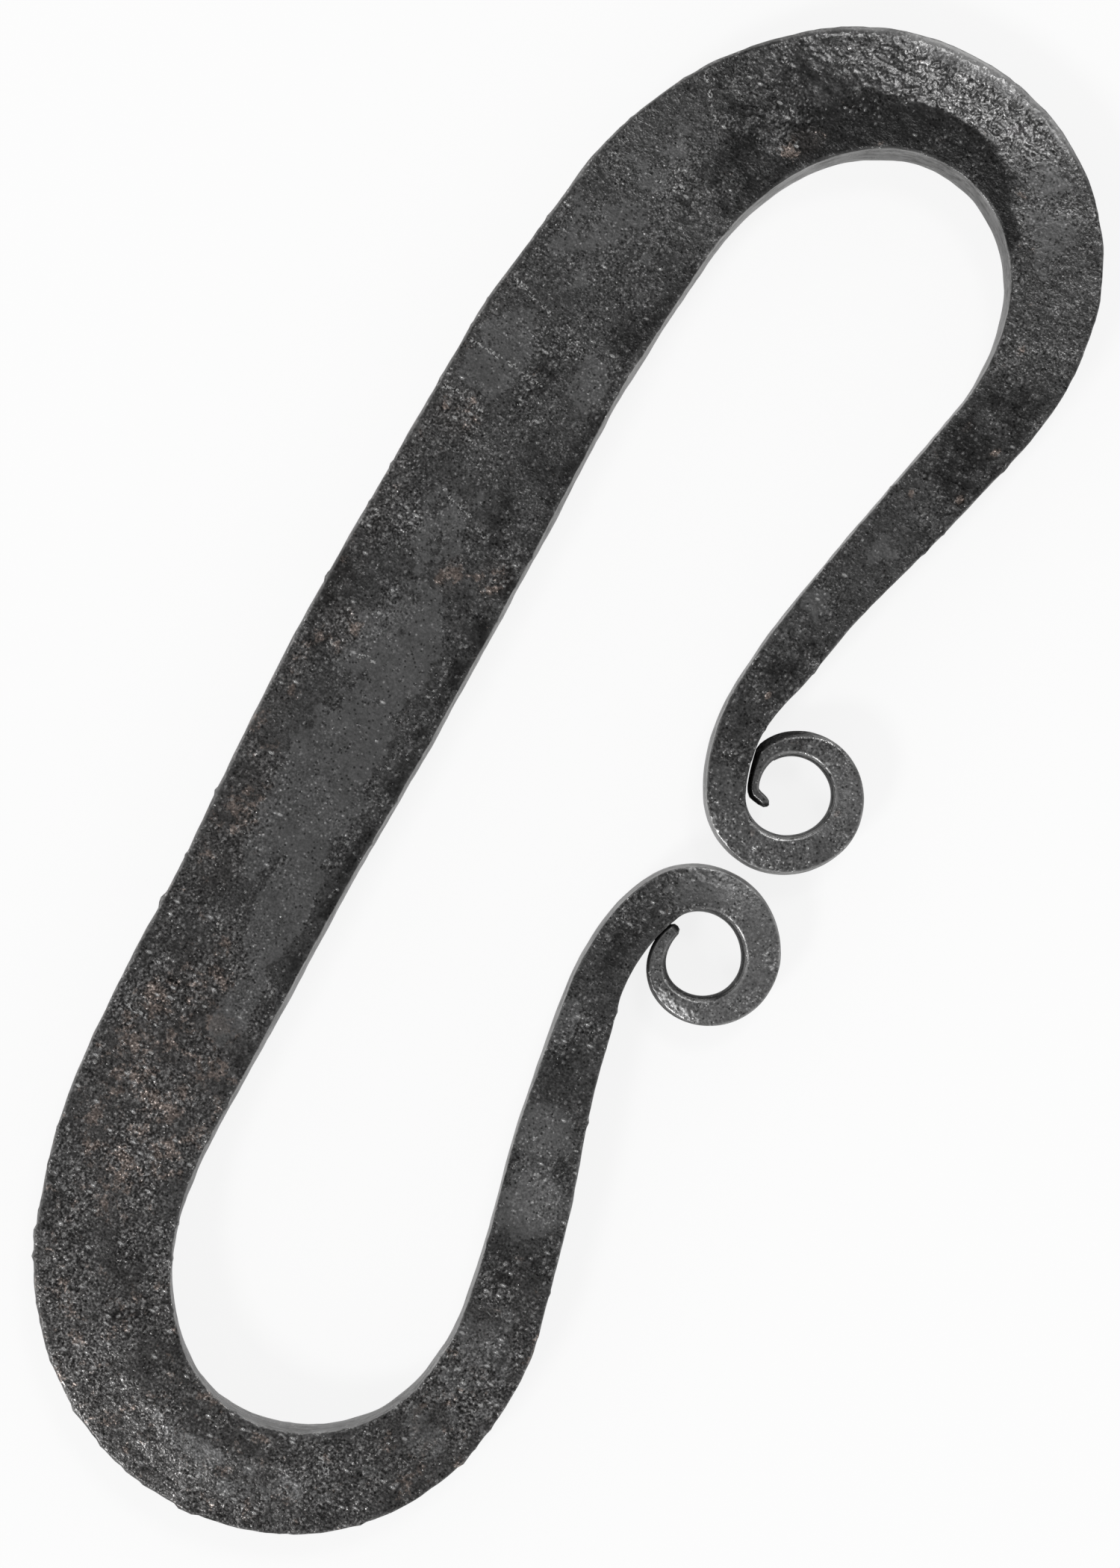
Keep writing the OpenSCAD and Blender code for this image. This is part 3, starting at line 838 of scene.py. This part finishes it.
# Colours of the steel
GREY_SCALE = (0.094, 0.0932, 0.093, 1)
BLACK_SCALE = (0.034, 0.0337, 0.0337, 1)
BURNISHED_GREY = (0.124, 0.1235, 0.1235, 1)
RUST_BROWN = (0.22, 0.182, 0.163, 1)
PIT_BLACK = (0.024, 0.0235, 0.0235, 1)
BLISTER_GREY_AND_GLINT = (0.27, 0.268, 0.267, 1)
LUMP_STEEL_AND_GLINT = (0.6, 0.598, 0.595, 1)
BARE_STEEL_AND_SHEEN = (0.6, 0.596, 0.592, 1)
WORN_STEEL_AND_HIGHLIGHT = (0.5, 0.498, 0.495, 1)
SPECULAR_TINT = (0.3, 0.3, 0.3, 1)
METALLIC = 0.8

# Grains of the surface, as scale for each millimetre, detail and roughness
MOTTLE = (0.5, 5.0, 0.7)
SPECKLE = (2.2, 3.0, 0.65)
FINE = (6.5, 1.0, 0.6)
LOBES = (0.6, 2.0, 0.55)
CLUSTERS = (0.35, 2.0, 0.6)
RUST_GRAIN = (0.75, 6.0, 0.8)
STREAKS = (1.0, 5.0, 0.7)
FACET_GRAIN = (2.4, 1.0, 0.5)

# Flecks, as cells for each millimetre, and how far from a cell's middle a fleck ends and is full
BLISTERS = (3.0, 0.42, 0.06)
LUMPS = (2.7, 0.34, 0.1)
DOTS = (5.5, 0.55, 0.2)
PITS = (2.4, 0.36, 0.15)

# Share of the cells that hold a fleck, before the spots of loose scale and rust add to it
BLISTER_SHARE = 0.18
LUMP_SHARE = 0.018
LIGHT_DOT_SHARE = 0.14
DARK_DOT_SHARE = 0.14
PIT_SHARE = 0.22
MOST_LOOSE = 1.2

# Levels of a grain between which a step runs, from its start to its end
BURNISHED_STEP = (0.47, 0.64)
DARK_STEP = (-0.05, -1.05)
CLUSTER_STEP = (0.4, 0.6)
RUST_STEP = (0.645, 0.71)
BARE_AND_SHEEN_STEP = (-0.24, 0.14)
BROKEN_STEP = (-0.06, 0.08)
# Distance from the middle of a mark at which it ends and is full
MARK_STEP = (0.1, 0.03)

# Levels at the start and the end of a step: how flecks crowd, how strong the grain is, how bare the sides
# are and how much painted sheen they carry
CROWD_LEVELS = (0.3, 1.7)
CLUSTER_LEVELS = (0.7, 1.25)
BARE_AND_SHEEN_LEVELS = (0.35, 1.0)
# Levels on scale and on burnished patches: strength of the fine grain and the speckle, rust, and roughness
FINE_LEVELS = (4.4, 2.2)
SPECKLE_LEVELS = (1.9, 1.1)
RUST_LEVELS = (1.0, 0.3)
ROUGH_LEVELS = (0.31, 0.4)

# How fully each colour covers what lies under it
RUST_COVER = 0.8
PIT_COVER = 0.6
BLISTER_COVER = 0.6
RAISED_COVER = 0.8
BARE_AND_SHEEN_COVER = 0.82
RIM_COVER = 0.7

# Lumps are drawn out across the bar and streaks along its sides, and marks go by their place in plan
LUMP_STRETCH = (0.5, 1.0, 1.0)
FLATTEN = (1.0, 1.0, 0.0)
STREAK_ALONG = 0.35
STREAK_UP = 2.2

# Depth of the relief in millimetres, and its strength in the speckle and where facets start
BUMP_DEPTH = 0.1
SPECKLE_RELIEF = 0.45
FACET_RELIEF = 0.2


def surface_of(tree):
    """What the mesh says of each place, the grains that vary it, and its burnished and dark patches."""
    here = SimpleNamespace()
    for name in fields:
        setattr(here, name, add(tree, "ShaderNodeAttribute", {"attribute_name": name}).outputs["Fac"])
    here.at = scaled(tree, add(tree, "ShaderNodeTexCoord").outputs["Object"], 1 / MM)
    here.mottle = swing(tree, here.at, MOTTLE)
    here.speckle = swing(tree, here.at, SPECKLE)
    here.fine = swing(tree, here.at, FINE)
    here.clusters = grain(tree, here.at, CLUSTERS)
    here.loose = math_of(tree, "MINIMUM", here.specks, MOST_LOOSE)
    # The patches have ragged edges
    ragged = weighted(tree, here.tone, [(swing(tree, here.at, LOBES), 2.1), (here.speckle, 0.8)])
    here.burnished = step_of(tree, ragged, *BURNISHED_STEP)
    here.dark = step_of(tree, ragged, *DARK_STEP)
    return here


def by_burnish(tree, here, on_scale, on_burnished):
    """One level on the scale and another on burnished patches."""
    return step_of(tree, here.burnished, 0.0, 1.0, on_scale, on_burnished)


def add_flecks(tree, here):
    """Blisters, lumps, dots and pits of the scale, which crowd in clusters, and the hammer's marks."""
    crowd = step_of(tree, here.clusters, *CLUSTER_STEP, *CROWD_LEVELS)
    dense = weighted(tree, BLISTER_SHARE, [(here.loose, 0.3), (here.rust, 0.1), (here.burnished, -0.1)])
    here.blister = some_flecks(tree, here.at, BLISTERS, product(tree, dense, crowd))
    drawn = vector_of(tree, "MULTIPLY", here.at, LUMP_STRETCH).outputs[0]
    dense = weighted(tree, LUMP_SHARE, [(here.specks, 0.17)])
    here.lump = some_flecks(tree, drawn, LUMPS, product(tree, dense, crowd))
    dot, pick = flecks(tree, here.at, DOTS)
    light = math_of(tree, "LESS_THAN", pick, product(tree, crowd, LIGHT_DOT_SHARE))
    here.light_dot = product(tree, dot, light)
    here.dark_dot = product(tree, dot, math_of(tree, "GREATER_THAN", pick, 1 - DARK_DOT_SHARE))
    here.pit = some_flecks(tree, here.at, PITS, PIT_SHARE)
    # Ragged and broken lines where the hammer's edge struck
    flat = vector_of(tree, "MULTIPLY", here.at, FLATTEN).outputs[0]
    strayed = math_of(tree, "ADD", here.speckle, mark_distance(tree, flat))
    line = step_of(tree, math_of(tree, "ABSOLUTE", strayed), *MARK_STEP)
    here.mark = product(tree, line, step_of(tree, here.fine, *BROKEN_STEP))


def brightness_of(tree, here):
    """How many times lighter each place is than its colour, as a power of two."""
    strength = by_burnish(tree, here, *FINE_LEVELS)
    strength = weighted(tree, strength, [(here.dark, -1.6), (here.loose, 1.8), (here.rust, 1.5)])
    strength = product(tree, strength, step_of(tree, here.clusters, *CLUSTER_STEP, *CLUSTER_LEVELS))
    power = weighted(tree, product(tree, here.fine, strength), [
        (here.mottle, 1.4), (here.speckle, by_burnish(tree, here, *SPECKLE_LEVELS)),
        (here.light_dot, 1.3), (here.dark_dot, -1.5),
    ])
    # Tones past burnished grey are lighter still, which also paints the highlight by the upper bow's outer
    # rim
    extra = math_of(tree, "MAXIMUM", math_of(tree, "SUBTRACT", here.tone, 1.0), 0.0)
    return math_of(tree, "POWER", 2.0, math_of(tree, "ADD", power, extra))


def scale_colour(tree, here):
    """Forge scale with its burnished, rusty and pitted places and its flecks."""
    rusty = weighted(tree, grain(tree, here.at, RUST_GRAIN), [(here.rust, 0.14)])
    rusty = step_of(tree, rusty, *RUST_STEP)
    stain = weighted(tree, product(tree, rusty, RUST_COVER), [(here.rust, 0.06)])
    stain = product(tree, stain, by_burnish(tree, here, *RUST_LEVELS))
    colour = mixed(tree, here.dark, GREY_SCALE, BLACK_SCALE)
    colour = mixed(tree, here.burnished, colour, BURNISHED_GREY)
    colour = mixed(tree, stain, colour, RUST_BROWN)
    colour = mixed(tree, product(tree, here.pit, PIT_COVER), colour, PIT_BLACK)
    bright = brightness_of(tree, here)
    shade = add(tree, "ShaderNodeCombineColor", None, {0: bright, 1: bright, 2: bright}).outputs[0]
    colour = mixed(tree, 1.0, colour, shade, "MULTIPLY")
    # Blisters, lumps and the hammer's marks are lightened, partly as raised bare scale and partly as
    # painted glints
    colour = mixed(tree, product(tree, here.blister, BLISTER_COVER), colour, BLISTER_GREY_AND_GLINT)
    raised = math_of(tree, "MAXIMUM", here.lump, here.mark)
    return mixed(tree, product(tree, raised, RAISED_COVER), colour, LUMP_STEEL_AND_GLINT)


def worn_and_sheen_colour(tree, here, colour):
    """The colour with the sides worn to bare steel and a painted sheen, but for streaks of scale, and with
    the rims worn and given a painted highlight.
    """
    height = add(tree, "ShaderNodeSeparateXYZ", None, {0: here.at}).outputs["Z"]
    strip = add(tree, "ShaderNodeCombineXYZ", None, {
        0: product(tree, here.along, STREAK_ALONG), 2: product(tree, height, STREAK_UP),
    }).outputs[0]
    streaked = weighted(tree, swing(tree, strip, STREAKS), [(here.mottle, 0.6), (here.speckle, 0.3)])
    bare_and_sheen = product(tree, here.side, step_of(tree, streaked, *BARE_AND_SHEEN_STEP, *BARE_AND_SHEEN_LEVELS))
    colour = mixed(tree, product(tree, bare_and_sheen, BARE_AND_SHEEN_COVER), colour, BARE_STEEL_AND_SHEEN)
    # The rims take worn steel and a painted highlight
    return mixed(tree, product(tree, here.rim, RIM_COVER), colour, WORN_STEEL_AND_HIGHLIGHT)


def roughness_of(tree, here):
    return weighted(tree, by_burnish(tree, here, *ROUGH_LEVELS), [
        (here.glitter, -0.04), (here.blister, -0.08), (here.lump, -0.12), (here.rim, -0.1),
    ])


def relief_of(tree, here):
    """Fine relief: grain and flecks on the scale, facets where it glitters, and pits."""
    smoothed = weighted(tree, 1.0, [(here.burnished, -0.6)])
    relief = product(tree, here.speckle, product(tree, smoothed, SPECKLE_RELIEF))
    relief = weighted(tree, relief, [
        (here.fine, 0.15), (here.blister, 0.85), (here.lump, 1.2), (here.mark, 0.8),
    ])
    relief = product(tree, relief, math_of(tree, "SUBTRACT", 1.0, here.glitter))
    deep = weighted(tree, FACET_RELIEF, [(here.glitter, 0.85)])
    deep = product(tree, deep, math_of(tree, "SUBTRACT", 1.0, here.dark))
    return weighted(tree, relief, [(swing(tree, here.at, FACET_GRAIN), deep), (here.pit, -0.4)])


def forged_material():
    made = bpy.data.materials.new("forge_scale")
    made.use_nodes = True
    tree = made.node_tree
    here = surface_of(tree)
    add_flecks(tree, here)
    colour = worn_and_sheen_colour(tree, here, scale_colour(tree, here))
    sockets = {"Height": relief_of(tree, here), "Strength": 1.0, "Distance": BUMP_DEPTH * MM}
    bump = add(tree, "ShaderNodeBump", None, sockets)
    shader = tree.nodes["Principled BSDF"]
    tree.links.new(colour, shader.inputs["Base Color"])
    tree.links.new(roughness_of(tree, here), shader.inputs["Roughness"])
    tree.links.new(bump.outputs["Normal"], shader.inputs["Normal"])
    shader.inputs["Metallic"].default_value = METALLIC
    shader.inputs["Specular Tint"].default_value = SPECULAR_TINT
    return made


mesh.materials.append(forged_material())
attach(steel, "root")
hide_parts("fire_steel")

# Floor: white to the camera, with part of the object's shadow kept
HALF_FLOOR = 2.0
SHADOW_KEPT = 0.16
FLOOR_Z = -0.02 * MM
corners = [(-1, -1), (1, -1), (1, 1), (-1, 1)]
floor_mesh = bpy.data.meshes.new("floor")
floor_mesh.from_pydata([(HALF_FLOOR * x, HALF_FLOOR * y, FLOOR_Z) for x, y in corners], [], [(0, 1, 2, 3)])
floor = bpy.data.objects.new("floor", floor_mesh)
bpy.context.scene.collection.objects.link(floor)


def floor_material():
    made = bpy.data.materials.new("floor_white")
    made.use_nodes = True
    tree = made.node_tree
    tree.nodes.remove(tree.nodes["Principled BSDF"])
    rays = add(tree, "ShaderNodeLightPath")
    seen = math_of(tree, "MAXIMUM", rays.outputs["Is Camera Ray"], rays.outputs["Is Glossy Ray"])
    seen = math_of(tree, "MAXIMUM", seen, rays.outputs["Is Transmission Ray"])
    share = product(tree, seen, 1 - SHADOW_KEPT)
    matt = add(tree, "ShaderNodeBsdfDiffuse", None, {"Color": WHITE})
    glow = add(tree, "ShaderNodeEmission", None, {"Color": WHITE, "Strength": 1.0})
    both = add(tree, "ShaderNodeMixShader", None, {0: share, 1: matt.outputs[0], 2: glow.outputs[0]})
    tree.links.new(both.outputs[0], tree.nodes["Material Output"].inputs["Surface"])
    return made


floor_mesh.materials.append(floor_material())

# World: white towards the horizon and darker overhead, by how far up a direction looks
HORIZON_UP = 0.15
OVERHEAD_UP = 0.95
HORIZON_LIGHT = 1.0
OVERHEAD_LIGHT = 0.22
world = bpy.data.worlds.new("studio")
bpy.context.scene.world = world
world.use_nodes = True
sky = world.node_tree
direction = add(sky, "ShaderNodeTexCoord").outputs["Generated"]
looks_up = add(sky, "ShaderNodeSeparateXYZ", None, {0: direction}).outputs["Z"]
level = step_of(sky, looks_up, HORIZON_UP, OVERHEAD_UP, HORIZON_LIGHT, OVERHEAD_LIGHT)
sky.nodes["Background"].inputs["Color"].default_value = WHITE
sky.links.new(level, sky.nodes["Background"].inputs["Strength"])

# Two square softboxes, in metres
SOFTBOX_DISTANCE = 1.2
SOFTBOX_SIZE = 0.26


def softbox(name, azimuth, elevation, radiance):
    """A square light that faces the object, from an azimuth counter-clockwise from +X."""
    light = bpy.data.lights.new(name, "AREA")
    light.shape = "SQUARE"
    light.size = SOFTBOX_SIZE
    light.energy = radiance * math.pi * SOFTBOX_SIZE * SOFTBOX_SIZE
    made = bpy.data.objects.new(name, light)
    bpy.context.scene.collection.objects.link(made)
    flat = SOFTBOX_DISTANCE * cos_d(elevation)
    made.location = (flat * cos_d(azimuth), flat * sin_d(azimuth), SOFTBOX_DISTANCE * sin_d(elevation))
    made.rotation_euler = (-made.location).to_track_quat("-Z", "Y").to_euler()


softbox("key", azimuth=89, elevation=61, radiance=11.3)
softbox("fill", azimuth=252, elevation=46, radiance=22.0)

# Camera straight above, turned as the photograph is, in metres and degrees, with its sensor in millimetres
VIEW_TURN = 28.45
VIEW_DISTANCE = 0.3
VIEW_FIELD = 0.09481
VIEW_X = 0.00058
VIEW_Y = -0.00062
SENSOR = 36.0
camera_data = bpy.data.cameras.new("camera")
camera_data.sensor_width = SENSOR
camera_data.lens = SENSOR * VIEW_DISTANCE / VIEW_FIELD
camera = bpy.data.objects.new("camera", camera_data)
bpy.context.scene.collection.objects.link(camera)
camera.location = (VIEW_X, VIEW_Y, VIEW_DISTANCE + STOCK_T / 2 * MM)
camera.rotation_euler = (0, 0, math.radians(VIEW_TURN))
bpy.context.scene.camera = camera
bpy.context.scene.view_settings.view_transform = "Standard"
